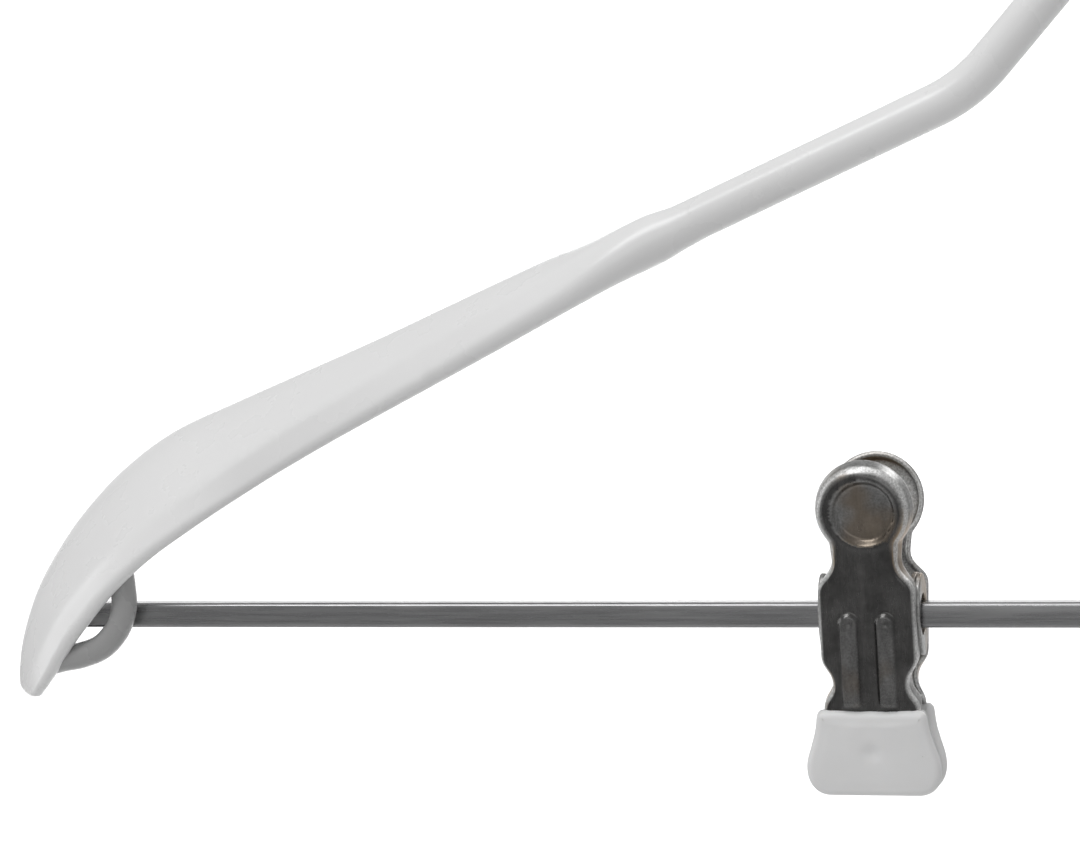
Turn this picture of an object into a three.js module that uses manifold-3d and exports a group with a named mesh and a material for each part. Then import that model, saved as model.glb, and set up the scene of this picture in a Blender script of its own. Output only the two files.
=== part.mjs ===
// Clothes hanger with broad shoulders, a clip bar, two skirt loops and two sliding spring clips.
// Millimetres, +Z up, +X along the clip bar, front towards -Y.
// The origin is the top of the inside of the hook, where the hanger rests on a rail.
import * as THREE from 'three';
import { mergeVertices } from 'three/addons/utils/BufferGeometryUtils.js';
import Module from 'manifold-3d';

const wasm = await Module();
wasm.setup();

// Clearance between pieces that bear on or are cut by each other.
const GAP = 0.3;

// Hook: a round wire bent to a question mark, its shank turning in the neck.
const HOOK_WIRE_R = 2.1;
const HOOK_INNER_R = 23;
const HOOK_R = HOOK_INNER_R + HOOK_WIRE_R;
const HOOK_CENTRE_Z = HOOK_WIRE_R - HOOK_R;
const HOOK_TIP_DEG = 192;
const HOOK_NECK_BEND_R = 12;
const SHANK_R = 1.7;
const COLLAR_TOP_Z = -61;
const COLLAR_BOTTOM_Z = -66;
const COLLAR_R = 4;
const WASHER_R = 5.2;
const WASHER_T = 1.2;
const BUSHING_R = 2.5;
const BUSHING_FLANGE_R = 4.4;
const BUSHING_FLANGE_T = 0.9;
const NUT_R = 3.4;
const NUT_T = 3.2;
const NUT_FLOOR = 0.9;

// Neck tube: a coated round tube arched over the hook's shank.
const TUBE_R = 3.7;
const NECK_ARCH_R = 24;
const NECK_APEX_Z = -74.7;
const NECK_SLOPE_DEG = 48.5;
const SHOULDER_BEND_R = 28;
const SHOULDER_SLOPE_DEG = 23.5;
const NECK_CORNER_X = 47.2;
const TUBE_END_X = 101.5;
const SPIGOT_R = 2.5;
const SPIGOT_LENGTH = 9;

// Shoulder leaf: stations along its centre line, from the tube to the tip.
// Each is [x, z, width, thickness, roll in degrees, arch of the section].
const LEAF_STATIONS = [
  [101.8, -139.6, 8.9, 8.7, 0, 0],
  [107, -141.9, 9.7, 8.6, 12, 0],
  [120, -147.3, 10.0, 5.8, 28, 0.3],
  [135, -154.2, 10.8, 4.6, 34, 0.6],
  [150, -161.1, 12.8, 3.8, 37, 0.9],
  [165, -167.8, 15.8, 3.2, 38, 1.3],
  [178, -173.7, 19.3, 2.8, 38, 1.6],
  [190, -179.6, 22.6, 2.8, 38, 1.9],
  [199, -185.8, 22.8, 2.8, 38, 2.0],
  [206, -192.2, 21.0, 2.8, 38, 1.8],
  [211, -198.0, 19.0, 2.8, 38, 1.6],
  [214.8, -203.4, 16.8, 2.8, 38, 1.3],
  [217.6, -208.6, 13.6, 2.7, 38, 0.9],
  [219.5, -213.8, 10.2, 2.5, 38, 0.4],
  [220.6, -217.8, 7.0, 2.4, 38, 0.2],
  [221.1, -220.0, 4.2, 2.2, 38, 0.1],
];

// Clip bar: a rounded square rod across the hanger's bottom.
const BAR_Z = -204.8;
const BAR_SIDE = 4.4;
const BAR_EDGE_R = 0.75;
const BAR_HALF_LENGTH = 213.5;

// Skirt loops: bent wire in front of the bar's ends, under the leaves.
const LOOP_WIRE_R = 2.3;
const LOOP_PATH = [
  [200.8, -4.9, -194.0],
  [199.9, -4.9, -199.2],
  [199.8, -4.9, -203.0],
  [201.2, -4.9, -206.8],
  [204.3, -4.6, -210.0],
  [208.6, -3.6, -211.7],
  [213.0, -2.4, -212.3],
  [218.2, -1.2, -213.0],
];

// Clips: two stamped halves on a coil spring round the bar, jaws dipped in vinyl.
const CLIP_X = 65.6;
const HALF_TILT_DEG = 8.7;
const SHEET_T = 0.9;
const SHEET_OUTER_Y = -7;
const FLANGE_DEPTH = 3;
const EAR_R = 7.2;
const FRONT_EAR_DEPTH_R = 5.3;
const REAR_EAR_FRONT_Y = -1.6;
const EAR_HOLE_R = 3.6;
const HEAD_R = 8.15;
const HEAD_Z = 19.7;
const DISH_R = 6;
const DISH_DEPTH = 0.8;
const FRONT_PIVOT_HALF = 8.1;
const REAR_PIVOT_HALF = 9.3;
const RIB_X = 3.3;
const RIB_HALF = 1.5;
const RIB_HEIGHT = 0.6;
const JAW_TOP_Z = -15.2;
const JAW_BOTTOM_Z = -30.5;
const VINYL_T = 1.2;
const SPRING_WIRE_R = 0.65;
const SPRING_R = 4.1;
const SPRING_TURNS = 5;
const SPRING_PITCH = 1.5;
const SPRING_LEG = 2.6;

const DEG = Math.PI / 180;

const MATERIALS = {
  coat: new THREE.MeshStandardMaterial({ color: 0xe9eaea, roughness: 0.35, metalness: 0 }),
  vinyl: new THREE.MeshStandardMaterial({ color: 0xd8d9da, roughness: 0.5, metalness: 0 }),
  chrome: new THREE.MeshStandardMaterial({ color: 0xb4b6b8, roughness: 0.2, metalness: 1 }),
  nickel: new THREE.MeshStandardMaterial({ color: 0x6b6a68, roughness: 0.32, metalness: 1 }),
  spring: new THREE.MeshStandardMaterial({ color: 0x8d8e90, roughness: 0.35, metalness: 1 }),
  nylon: new THREE.MeshStandardMaterial({ color: 0xe4e4e0, roughness: 0.55, metalness: 0 }),
};

// Turns a three.js geometry into a manifold solid.
function solid(geometry) {
  const bare = new THREE.BufferGeometry();
  bare.setAttribute('position', geometry.getAttribute('position'));
  if (geometry.index) bare.setIndex(geometry.index);
  const merged = mergeVertices(bare, 1e-5);
  return new wasm.Manifold(new wasm.Mesh({
    numProp: 3,
    vertProperties: new Float32Array(merged.getAttribute('position').array),
    triVerts: new Uint32Array(merged.index.array),
  }));
}

// Turns a manifold solid into a named mesh.
function meshOf(shape, name, material) {
  const raw = shape.getMesh();
  const geometry = new THREE.BufferGeometry();
  geometry.setAttribute('position', new THREE.BufferAttribute(new Float32Array(raw.vertProperties), 3));
  geometry.setIndex(new THREE.BufferAttribute(new Uint32Array(raw.triVerts), 1));
  geometry.computeVertexNormals();
  const mesh = new THREE.Mesh(geometry, MATERIALS[material]);
  mesh.name = name;
  return mesh;
}

// Closes a list of equal rings of points, with flat fans over both ends, into a solid.
function loft(rings) {
  const count = rings[0].length;
  const points = rings.flat();
  const faces = [];
  for (let i = 0; i < rings.length - 1; i += 1) {
    for (let j = 0; j < count; j += 1) {
      const a = i * count + j;
      const b = i * count + (j + 1) % count;
      faces.push(a, b, a + count, b, b + count, a + count);
    }
  }
  const last = (rings.length - 1) * count;
  for (let j = 1; j < count - 1; j += 1) {
    faces.push(0, j + 1, j);
    faces.push(last, last + j, last + j + 1);
  }
  const geometry = new THREE.BufferGeometry();
  geometry.setAttribute('position', new THREE.Float32BufferAttribute(points.flatMap((p) => p.toArray()), 3));
  geometry.setIndex(faces);
  const shape = solid(geometry);
  if (shape.volume() > 0) return shape;
  geometry.setIndex(faces.map((_, i) => faces[i - (i % 3) + [0, 2, 1][i % 3]]));
  return solid(geometry);
}

// Round wire or tube along points in a list, each ring square to the path.
function wire(path, radius, sides) {
  const rings = path.map((point, i) => {
    const along = directionAt(path, i);
    const side = new THREE.Vector3(0, 1, 0);
    if (Math.abs(along.y) > 0.9) side.set(1, 0, 0);
    const up = along.clone().cross(side).normalize();
    side.copy(up).cross(along).normalize();
    return ringAround(point, side, up, radius, sides);
  });
  return loft(rings);
}

function directionAt(path, i) {
  const before = path[Math.max(i - 1, 0)];
  const after = path[Math.min(i + 1, path.length - 1)];
  return after.clone().sub(before).normalize();
}

function ringAround(centre, u, v, radius, sides) {
  const ring = [];
  for (let j = 0; j < sides; j += 1) {
    const a = (2 * Math.PI * j) / sides;
    ring.push(centre.clone().addScaledVector(u, radius * Math.cos(a)).addScaledVector(v, radius * Math.sin(a)));
  }
  return ring;
}

// Points of an arc in the XZ plane, angles in degrees from +X towards +Z.
function arcPoints(x, y, z, radius, from, to, steps) {
  const points = [];
  for (let i = 0; i <= steps; i += 1) {
    const a = (from + ((to - from) * i) / steps) * DEG;
    points.push(new THREE.Vector3(x + radius * Math.cos(a), y, z + radius * Math.sin(a)));
  }
  return points;
}

// A turned piece about +Z: profile points are [radius, z].
function turned(profile, sides = 24) {
  const points = profile.map(([r, z]) => new THREE.Vector2(r, z));
  points.push(points[0].clone());
  const geometry = new THREE.LatheGeometry(points, sides);
  geometry.rotateX(Math.PI / 2);
  const shape = solid(geometry);
  if (shape.volume() > 0) return shape;
  geometry.setIndex(Array.from(geometry.index.array).reverse());
  return solid(geometry);
}

// A flat shape in the XZ plane, thick from yLow to yHigh.
function plate(shape, yLow, yHigh, curveSegments = 8) {
  const geometry = new THREE.ExtrudeGeometry(shape, {
    depth: yHigh - yLow, bevelEnabled: false, curveSegments,
  });
  geometry.rotateX(Math.PI / 2);
  geometry.translate(0, yHigh, 0);
  return solid(geometry);
}

// A round bar along X between two positions.
function rodX(radius, x0, x1, sides = 28) {
  const geometry = new THREE.CylinderGeometry(radius, radius, x1 - x0, sides);
  geometry.rotateZ(Math.PI / 2);
  geometry.translate((x0 + x1) / 2, 0, 0);
  return solid(geometry);
}

function box(x0, x1, y0, y1, z0, z1) {
  const geometry = new THREE.BoxGeometry(x1 - x0, y1 - y0, z1 - z0);
  geometry.translate((x0 + x1) / 2, (y0 + y1) / 2, (z0 + z1) / 2);
  return solid(geometry);
}

// ---- Hook and swivel ----

function hookWire() {
  const reach = Math.sqrt((HOOK_R + HOOK_NECK_BEND_R) ** 2 - HOOK_NECK_BEND_R ** 2);
  const turnDeg = Math.atan2(-reach, HOOK_NECK_BEND_R) / DEG;
  const bendZ = HOOK_CENTRE_Z - reach;
  const round = arcPoints(0, 0, HOOK_CENTRE_Z, HOOK_R, HOOK_TIP_DEG, turnDeg, 34);
  const bend = arcPoints(HOOK_NECK_BEND_R, 0, bendZ, HOOK_NECK_BEND_R, turnDeg + 180, 180, 7);
  const path = [...round, ...bend.slice(1), new THREE.Vector3(0, 0, COLLAR_BOTTOM_Z - 0.6)];
  const shank = turned([
    [0, COLLAR_BOTTOM_Z], [SHANK_R, COLLAR_BOTTOM_Z], [SHANK_R, shankEndZ()], [0, shankEndZ()],
  ]);
  return wire(path, HOOK_WIRE_R, 12).add(shank);
}

function hookCollar() {
  const bore = HOOK_WIRE_R + GAP;
  return turned([
    [bore, COLLAR_TOP_Z], [bore, COLLAR_BOTTOM_Z], [COLLAR_R, COLLAR_BOTTOM_Z],
    [COLLAR_R, COLLAR_TOP_Z - 1.2], [COLLAR_R - 1, COLLAR_TOP_Z],
  ]);
}

// The bushing's flange lies on a flat filed across the arch.
function archFlatZ() {
  return NECK_APEX_Z + TUBE_R - 0.9;
}

function washerTopZ() {
  return archFlatZ() + GAP + BUSHING_FLANGE_T + GAP + WASHER_T;
}

function lowerFlatZ() {
  return NECK_APEX_Z - TUBE_R + 0.9;
}

function nutTopZ() {
  return lowerFlatZ() - GAP - WASHER_T - GAP;
}

function shankEndZ() {
  return nutTopZ() - NUT_T + NUT_FLOOR + GAP;
}

function washer(topZ) {
  const bore = SHANK_R + GAP;
  return turned([
    [bore, topZ], [bore, topZ - WASHER_T], [WASHER_R - 0.3, topZ - WASHER_T],
    [WASHER_R, topZ - WASHER_T / 2], [WASHER_R - 0.3, topZ],
  ]);
}

function bushing() {
  const bore = SHANK_R + GAP;
  const flangeTop = archFlatZ() + GAP + BUSHING_FLANGE_T;
  return turned([
    [bore, flangeTop], [bore, lowerFlatZ()], [BUSHING_R, lowerFlatZ()],
    [BUSHING_R, archFlatZ() + GAP], [BUSHING_FLANGE_R, archFlatZ() + GAP], [BUSHING_FLANGE_R, flangeTop],
  ]);
}

// Domed nut on the end of the shank, under the lower washer.
function capNut() {
  const top = nutTopZ();
  const bore = SHANK_R + GAP;
  return turned([
    [0, top - NUT_T], [bore, top - NUT_T], [NUT_R, top - NUT_T + 1.4], [NUT_R, top],
    [bore, top], [bore, top - NUT_T + NUT_FLOOR], [0, top - NUT_T + NUT_FLOOR],
  ]);
}

// ---- Frame ----

// Centre line of the right half of the neck tube, from the arch's top outwards.
function neckPath() {
  const archZ = NECK_APEX_Z - NECK_ARCH_R;
  const arch = arcPoints(0, 0, archZ, NECK_ARCH_R, 90, 90 - NECK_SLOPE_DEG, 8);
  const top = arch[arch.length - 1];
  const cornerZ = top.z - (NECK_CORNER_X - top.x) * Math.tan(NECK_SLOPE_DEG * DEG);
  const turn = NECK_SLOPE_DEG - SHOULDER_SLOPE_DEG;
  const setBack = SHOULDER_BEND_R * Math.tan((turn / 2) * DEG);
  const startX = NECK_CORNER_X - setBack * Math.cos(NECK_SLOPE_DEG * DEG);
  const startZ = cornerZ + setBack * Math.sin(NECK_SLOPE_DEG * DEG);
  const bendX = startX + SHOULDER_BEND_R * Math.sin(NECK_SLOPE_DEG * DEG);
  const bendZ = startZ + SHOULDER_BEND_R * Math.cos(NECK_SLOPE_DEG * DEG);
  const bend = arcPoints(bendX, 0, bendZ, SHOULDER_BEND_R,
    270 - NECK_SLOPE_DEG, 270 - SHOULDER_SLOPE_DEG, 5);
  const last = bend[bend.length - 1];
  const slope = Math.tan(SHOULDER_SLOPE_DEG * DEG);
  const endZ = last.z - (TUBE_END_X - last.x) * slope;
  const middleX = (last.x + TUBE_END_X) / 2;
  const middle = new THREE.Vector3(middleX, 0, last.z - (middleX - last.x) * slope);
  return [...arch, ...bend, middle, new THREE.Vector3(TUBE_END_X, 0, endZ)];
}

function mirrored(points) {
  return points.map((p) => new THREE.Vector3(-p.x, p.y, p.z));
}

function spigotPath(extra) {
  const right = neckPath();
  const end = right[right.length - 1];
  const along = end.clone().sub(right[right.length - 2]).normalize();
  return [end.clone().addScaledVector(along, -3), end.clone().addScaledVector(along, SPIGOT_LENGTH + extra)];
}

function neckTube() {
  const right = neckPath();
  const path = [...mirrored(right).reverse(), ...right.slice(1)];
  const rightSpigot = wire(spigotPath(0), SPIGOT_R, 12);
  const leftSpigot = wire(mirrored(spigotPath(0)), SPIGOT_R, 12);
  const hole = turned([[0, NECK_APEX_Z - 9], [BUSHING_R + GAP, NECK_APEX_Z - 9],
    [BUSHING_R + GAP, NECK_APEX_Z + 9], [0, NECK_APEX_Z + 9]]);
  const upperFlat = box(-6.5, 6.5, -6, 6, archFlatZ(), archFlatZ() + 6);
  const lowerFlat = turned([[0, lowerFlatZ() - 6], [WASHER_R + 0.8, lowerFlatZ() - 6],
    [WASHER_R + 0.8, lowerFlatZ()], [0, lowerFlatZ()]]);
  return wire(path, TUBE_R, 16).add(rightSpigot).add(leftSpigot)
    .subtract(hole).subtract(upperFlat).subtract(lowerFlat);
}

// One section of the leaf: an ellipse bowed so that its long edges droop.
function leafRing(centre, along, width, thickness, roll, arch) {
  const normal = new THREE.Vector3(0, 1, 0).cross(along).normalize();
  if (normal.z < 0) normal.negate();
  const across = new THREE.Vector3(0, Math.cos(roll * DEG), 0).addScaledVector(normal, Math.sin(roll * DEG));
  const face = new THREE.Vector3(0, -Math.sin(roll * DEG), 0).addScaledVector(normal, Math.cos(roll * DEG));
  const ring = [];
  const sides = 20;
  for (let j = 0; j < sides; j += 1) {
    const a = (2 * Math.PI * j) / sides;
    const u = Math.cos(a);
    const bow = arch * (0.4 - u * u);
    ring.push(centre.clone().addScaledVector(across, (width / 2) * u)
      .addScaledVector(face, (thickness / 2) * Math.sin(a) + bow));
  }
  return ring;
}

// Interpolates the leaf's stations smoothly into closer sections.
function leafSections(perSpan) {
  const sections = [];
  for (let i = 0; i < LEAF_STATIONS.length - 1; i += 1) {
    for (let k = 0; k < perSpan; k += 1) sections.push(between(i, k / perSpan));
  }
  sections.push(LEAF_STATIONS[LEAF_STATIONS.length - 1]);
  return sections;
}

function between(i, t) {
  const at = (n) => LEAF_STATIONS[Math.min(Math.max(n, 0), LEAF_STATIONS.length - 1)];
  return at(i).map((value, c) => {
    const inSlope = (at(i + 1)[c] - at(i - 1)[c]) / 2;
    const outSlope = (at(i + 2)[c] - value) / 2;
    const rise = at(i + 1)[c] - value;
    return value + t * inSlope + t * t * (3 * rise - 2 * inSlope - outSlope)
      + t * t * t * (inSlope + outSlope - 2 * rise);
  });
}

// The leaf's outside, made larger all round by grow.
function leafBody(side, grow) {
  const sections = leafSections(3);
  const centres = sections.map(([x, z]) => new THREE.Vector3(side * x, 0, z));
  const rings = sections.map(([, , width, thickness, roll, arch], i) => {
    const along = directionAt(centres, i);
    return leafRing(centres[i], along, width + 2 * grow, thickness + 2 * grow, roll, arch);
  });
  return loft(rings);
}

function shoulderLeaf(side) {
  const path = spigotPath(GAP);
  const socket = wire(side > 0 ? path : mirrored(path), SPIGOT_R + GAP, 12);
  return leafBody(side, 0).subtract(socket);
}

// Trims a piece that ends against a leaf's inside, and drops what is cut off beyond it.
function trimmedByLeaf(shape, side) {
  const bodies = shape.subtract(leafBody(side, GAP)).decompose();
  return bodies.reduce((best, body) => (body.volume() > best.volume() ? body : best));
}

function roundedSquare(side, edgeR) {
  const h = side / 2;
  const shape = new THREE.Shape();
  shape.moveTo(-h + edgeR, -h);
  shape.lineTo(h - edgeR, -h);
  shape.absarc(h - edgeR, -h + edgeR, edgeR, -Math.PI / 2, 0, false);
  shape.lineTo(h, h - edgeR);
  shape.absarc(h - edgeR, h - edgeR, edgeR, 0, Math.PI / 2, false);
  shape.lineTo(-h + edgeR, h);
  shape.absarc(-h + edgeR, h - edgeR, edgeR, Math.PI / 2, Math.PI, false);
  shape.lineTo(-h, -h + edgeR);
  shape.absarc(-h + edgeR, -h + edgeR, edgeR, Math.PI, 1.5 * Math.PI, false);
  return shape;
}

function clipBar() {
  const geometry = new THREE.ExtrudeGeometry(roundedSquare(BAR_SIDE, BAR_EDGE_R), {
    depth: 2 * BAR_HALF_LENGTH, bevelEnabled: false, curveSegments: 4,
  });
  geometry.rotateY(Math.PI / 2);
  geometry.translate(-BAR_HALF_LENGTH, 0, BAR_Z);
  return trimmedByLeaf(trimmedByLeaf(solid(geometry), -1), 1);
}

function skirtLoop(side) {
  const points = LOOP_PATH.map(([x, y, z]) => new THREE.Vector3(side * x, y, z));
  const path = new THREE.CatmullRomCurve3(points).getPoints(24);
  return trimmedByLeaf(wire(path, LOOP_WIRE_R, 12), side);
}

// ---- Clips ----

// Outline of a stamped half above the vinyl, round the head, in the XZ plane.
function halfOutline(pivotHalf, grow, bottomZ) {
  const neck = 5.6 + grow;
  const waist = pivotHalf - 1.8 + grow;
  const pivot = pivotHalf + grow;
  const jaw = 8.3 + grow;
  const headR = HEAD_R + grow;
  const headAngle = Math.asin(neck / headR) + 0.08;
  const shape = new THREE.Shape();
  shape.moveTo(-10 - grow, bottomZ);
  shape.bezierCurveTo(-10 - grow, -21, -jaw, -18, -jaw, -15);
  shape.bezierCurveTo(-jaw, -13.4, -waist, -12.8, -waist, -10.8);
  shape.bezierCurveTo(-waist, -8.5, -pivot, -8, -pivot, -6);
  shape.lineTo(-pivot, 5.6);
  shape.bezierCurveTo(-pivot, 8, -neck, 8.4, -neck, 11);
  shape.lineTo(-headR * Math.sin(headAngle), HEAD_Z - headR * Math.cos(headAngle));
  shape.absarc(0, HEAD_Z, headR, -Math.PI / 2 - headAngle, -Math.PI / 2 + headAngle, true);
  shape.lineTo(neck, 11);
  shape.bezierCurveTo(neck, 8.4, pivot, 8, pivot, 5.6);
  shape.lineTo(pivot, -6);
  shape.bezierCurveTo(pivot, -8, waist, -8.5, waist, -10.8);
  shape.bezierCurveTo(waist, -12.8, jaw, -13.4, jaw, -15);
  shape.bezierCurveTo(jaw, -18, 10 + grow, -21, 10 + grow, bottomZ);
  return shape;
}

// Two ears round the bar. The front half's are oval; the rear half's stop short and are open in front.
function ears(pivotHalf, rear) {
  const inner = pivotHalf - SHEET_T;
  const depthShare = rear ? 1 : FRONT_EAR_DEPTH_R / EAR_R;
  const discs = rodX(EAR_R, -pivotHalf, pivotHalf).scale([1, depthShare, 1]);
  const depthFrom = rear ? SHEET_OUTER_Y + 0.4 : -20;
  const depthTo = rear ? -REAR_EAR_FRONT_Y : 20;
  const depth = box(-pivotHalf, pivotHalf, depthFrom, depthTo, -20, 20);
  const webs = box(-pivotHalf, pivotHalf, SHEET_OUTER_Y + 0.4, 0, -5.6, 4);
  const gapBetween = box(-inner, inner, -20, 20, -20, 20);
  return discs.intersect(depth).add(webs).subtract(gapBetween).subtract(rodX(EAR_HOLE_R, -20, 20));
}

function ribs() {
  const raised = (x) => box(x - RIB_HALF, x + RIB_HALF,
    SHEET_OUTER_Y - RIB_HEIGHT, SHEET_OUTER_Y + 0.2, JAW_TOP_Z + GAP, 1.6);
  return raised(-RIB_X).add(raised(RIB_X));
}

function thumbDish() {
  const geometry = new THREE.CylinderGeometry(DISH_R - 0.8, DISH_R, 4, 28);
  geometry.translate(0, SHEET_OUTER_Y + DISH_DEPTH - 2, HEAD_Z);
  return solid(geometry);
}

function dishBack() {
  const geometry = new THREE.CylinderGeometry(DISH_R - 0.2, DISH_R + 0.6, SHEET_T + 0.4, 28);
  geometry.translate(0, SHEET_OUTER_Y + DISH_DEPTH + SHEET_T / 2 + 0.2, HEAD_Z);
  return solid(geometry);
}

// A stamped half before it is tilted, the front one: panel, flange, ears, ribs, dish.
function clipHalf(pivotHalf, rear) {
  const bottom = JAW_BOTTOM_Z + VINYL_T + GAP;
  const outer = plate(halfOutline(pivotHalf, 0, bottom), SHEET_OUTER_Y, SHEET_OUTER_Y + SHEET_T + FLANGE_DEPTH);
  const hollow = plate(halfOutline(pivotHalf, -SHEET_T, bottom - 2), SHEET_OUTER_Y + SHEET_T, 6);
  const belowJaw = box(-20, 20, SHEET_OUTER_Y + SHEET_T, 6, -40, JAW_TOP_Z + 1);
  const pan = outer.subtract(hollow).subtract(belowJaw);
  return pan.add(ears(pivotHalf, rear)).add(dishBack()).add(ribs()).subtract(thumbDish());
}

function jawOutline(grow) {
  const top = JAW_TOP_Z;
  const bottom = JAW_BOTTOM_Z - grow;
  const shape = new THREE.Shape();
  shape.moveTo(-9.4 - grow, top);
  shape.lineTo(-11.3 - grow, -24.7);
  shape.bezierCurveTo(-11.9 - grow, -27.9, -10.6 - grow, bottom + 0.4, -7.6, bottom);
  shape.lineTo(7.6, bottom);
  shape.bezierCurveTo(10.6 + grow, bottom + 0.4, 11.9 + grow, -27.9, 11.3 + grow, -24.7);
  shape.lineTo(9.4 + grow, top);
  return shape;
}

// The vinyl cap on one jaw, before it is tilted, the front one.
function jawCap(pivotHalf) {
  const cap = plate(jawOutline(0), SHEET_OUTER_Y - VINYL_T, SHEET_OUTER_Y + SHEET_T + VINYL_T - 0.1);
  const sleeve = plate(halfOutline(pivotHalf, GAP, JAW_BOTTOM_Z + VINYL_T),
    SHEET_OUTER_Y - GAP, SHEET_OUTER_Y + SHEET_T + GAP);
  return cap.subtract(sleeve);
}

// Tilts a half about the bar's axis, head outwards, and puts it at its clip.
function placed(shape, side, rear) {
  const tilted = shape.rotate([HALF_TILT_DEG, 0, 0]);
  const facing = rear ? tilted.rotate([0, 0, 180]) : tilted;
  return facing.translate([side * CLIP_X, 0, BAR_Z]);
}

// Coil round the bar, its ends turned out under the two halves.
function clipSpring(side) {
  const steps = 14;
  const count = Math.round((SPRING_TURNS + 0.5) * steps);
  const length = SPRING_TURNS * SPRING_PITCH;
  const coil = [];
  for (let i = 0; i <= count; i += 1) {
    const a = Math.PI + (2 * Math.PI * i) / steps;
    const x = -length / 2 + (length * i) / count;
    coil.push(new THREE.Vector3(x, SPRING_R * Math.cos(a), SPRING_R * Math.sin(a)));
  }
  const up = new THREE.Vector3(0, 0, SPRING_LEG);
  const ends = [coil[0].clone().add(up), coil[count].clone().add(up)];
  return wire([ends[0], ...coil, ends[1]], SPRING_WIRE_R, 6).translate([side * CLIP_X, 0, BAR_Z]);
}

function addClip(group, side, label) {
  const front = clipHalf(FRONT_PIVOT_HALF, false);
  const rear = clipHalf(REAR_PIVOT_HALF, true);
  group.add(meshOf(placed(front, side, false), `${label}_clip_front_half`, 'nickel'));
  group.add(meshOf(placed(rear, side, true), `${label}_clip_rear_half`, 'nickel'));
  group.add(meshOf(placed(jawCap(FRONT_PIVOT_HALF), side, false), `${label}_clip_front_jaw_cap`, 'vinyl'));
  group.add(meshOf(placed(jawCap(REAR_PIVOT_HALF), side, true), `${label}_clip_rear_jaw_cap`, 'vinyl'));
  group.add(meshOf(clipSpring(side), `${label}_clip_spring`, 'spring'));
}

const hanger = new THREE.Group();
hanger.name = 'clothes_hanger';
hanger.add(meshOf(hookWire(), 'hook', 'chrome'));
hanger.add(meshOf(hookCollar(), 'hook_collar', 'chrome'));
hanger.add(meshOf(washer(washerTopZ()), 'swivel_upper_washer', 'nylon'));
hanger.add(meshOf(bushing(), 'swivel_bushing', 'nylon'));
hanger.add(meshOf(washer(lowerFlatZ() - GAP), 'swivel_lower_washer', 'nylon'));
hanger.add(meshOf(capNut(), 'hook_cap_nut', 'chrome'));
hanger.add(meshOf(neckTube(), 'neck_tube', 'coat'));
hanger.add(meshOf(shoulderLeaf(-1), 'left_shoulder_leaf', 'coat'));
hanger.add(meshOf(shoulderLeaf(1), 'right_shoulder_leaf', 'coat'));
hanger.add(meshOf(clipBar(), 'clip_bar', 'chrome'));
hanger.add(meshOf(skirtLoop(-1), 'left_skirt_loop', 'coat'));
hanger.add(meshOf(skirtLoop(1), 'right_skirt_loop', 'coat'));
addClip(hanger, -1, 'left');
addClip(hanger, 1, 'right');

export default hanger;
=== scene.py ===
"""Looks of the clothes hanger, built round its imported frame.

Every visible piece is a fine mesh that rides on a CAD body, and all but the spring legs stand
for one CAD node. Lengths are in millimetres and turned into metres by MM, apart from the
camera, the studio and the bump depths, which are in metres.
"""
import math

import bmesh
import bpy
import numpy as np
from mathutils import Matrix, Vector
from mathutils.geometry import delaunay_2d_cdt


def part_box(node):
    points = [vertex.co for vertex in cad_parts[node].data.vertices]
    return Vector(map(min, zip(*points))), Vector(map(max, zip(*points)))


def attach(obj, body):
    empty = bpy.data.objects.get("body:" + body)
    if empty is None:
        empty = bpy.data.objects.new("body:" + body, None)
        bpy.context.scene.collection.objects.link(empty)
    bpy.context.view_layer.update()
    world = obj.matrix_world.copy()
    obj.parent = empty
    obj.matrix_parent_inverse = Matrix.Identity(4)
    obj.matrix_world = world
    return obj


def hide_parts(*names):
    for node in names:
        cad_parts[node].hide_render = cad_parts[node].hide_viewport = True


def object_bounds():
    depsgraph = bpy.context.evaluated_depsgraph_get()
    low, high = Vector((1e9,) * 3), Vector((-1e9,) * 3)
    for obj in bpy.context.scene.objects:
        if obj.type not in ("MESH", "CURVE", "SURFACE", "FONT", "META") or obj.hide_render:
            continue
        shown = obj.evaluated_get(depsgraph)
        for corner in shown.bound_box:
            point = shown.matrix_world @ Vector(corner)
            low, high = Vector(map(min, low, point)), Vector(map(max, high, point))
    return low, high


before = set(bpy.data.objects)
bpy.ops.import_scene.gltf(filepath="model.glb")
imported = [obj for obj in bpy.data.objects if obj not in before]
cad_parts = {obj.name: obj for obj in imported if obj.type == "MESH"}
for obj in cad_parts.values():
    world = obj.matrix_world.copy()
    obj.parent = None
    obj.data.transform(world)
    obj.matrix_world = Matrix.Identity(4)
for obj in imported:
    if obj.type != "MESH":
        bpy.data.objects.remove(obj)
CAD_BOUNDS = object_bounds()

MM = 0.001

# Camera: seen from a little right of and above the left clip.
CAMERA_AZIMUTH = 9.75
CAMERA_ELEVATION = 8.0
CAMERA_DISTANCE = 700 * MM
CAMERA_ORBIT_X = -67 * MM
CAMERA_ORBIT_Z = -205 * MM
CAMERA_AIM = Vector((-123.38, 0, -172.82)) * MM
CAMERA_ROLL = -2.0
CAMERA_LENS = 135.4

# Studio, in metres.
FLOOR_DROP = 0.66
FLOOR_SIZE = 20.0
WALL_X = -0.7
WALL_Y = 2.6
WALL_SIZE = (3.4, 1.7)
WORLD_GREY = 0.42

# Hook and swivel.
HOOK_WIRE_R = 2.1
HOOK_BEND_R = 12
HOOK_TIP_DEG = 192
SHANK_R = 1.7
COLLAR_LIP = 0.5
COLLAR_GROOVE = 0.35
PRESS_FIT = 0.02
SHANK_CLEARANCE = 0.3
WASHER_EDGE_R = 0.4
BUSHING_BARREL_R = 2.5
BUSHING_FLANGE = 0.9
BUSHING_EDGE_R = 0.3
NUT_DOME = 1.5

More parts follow.
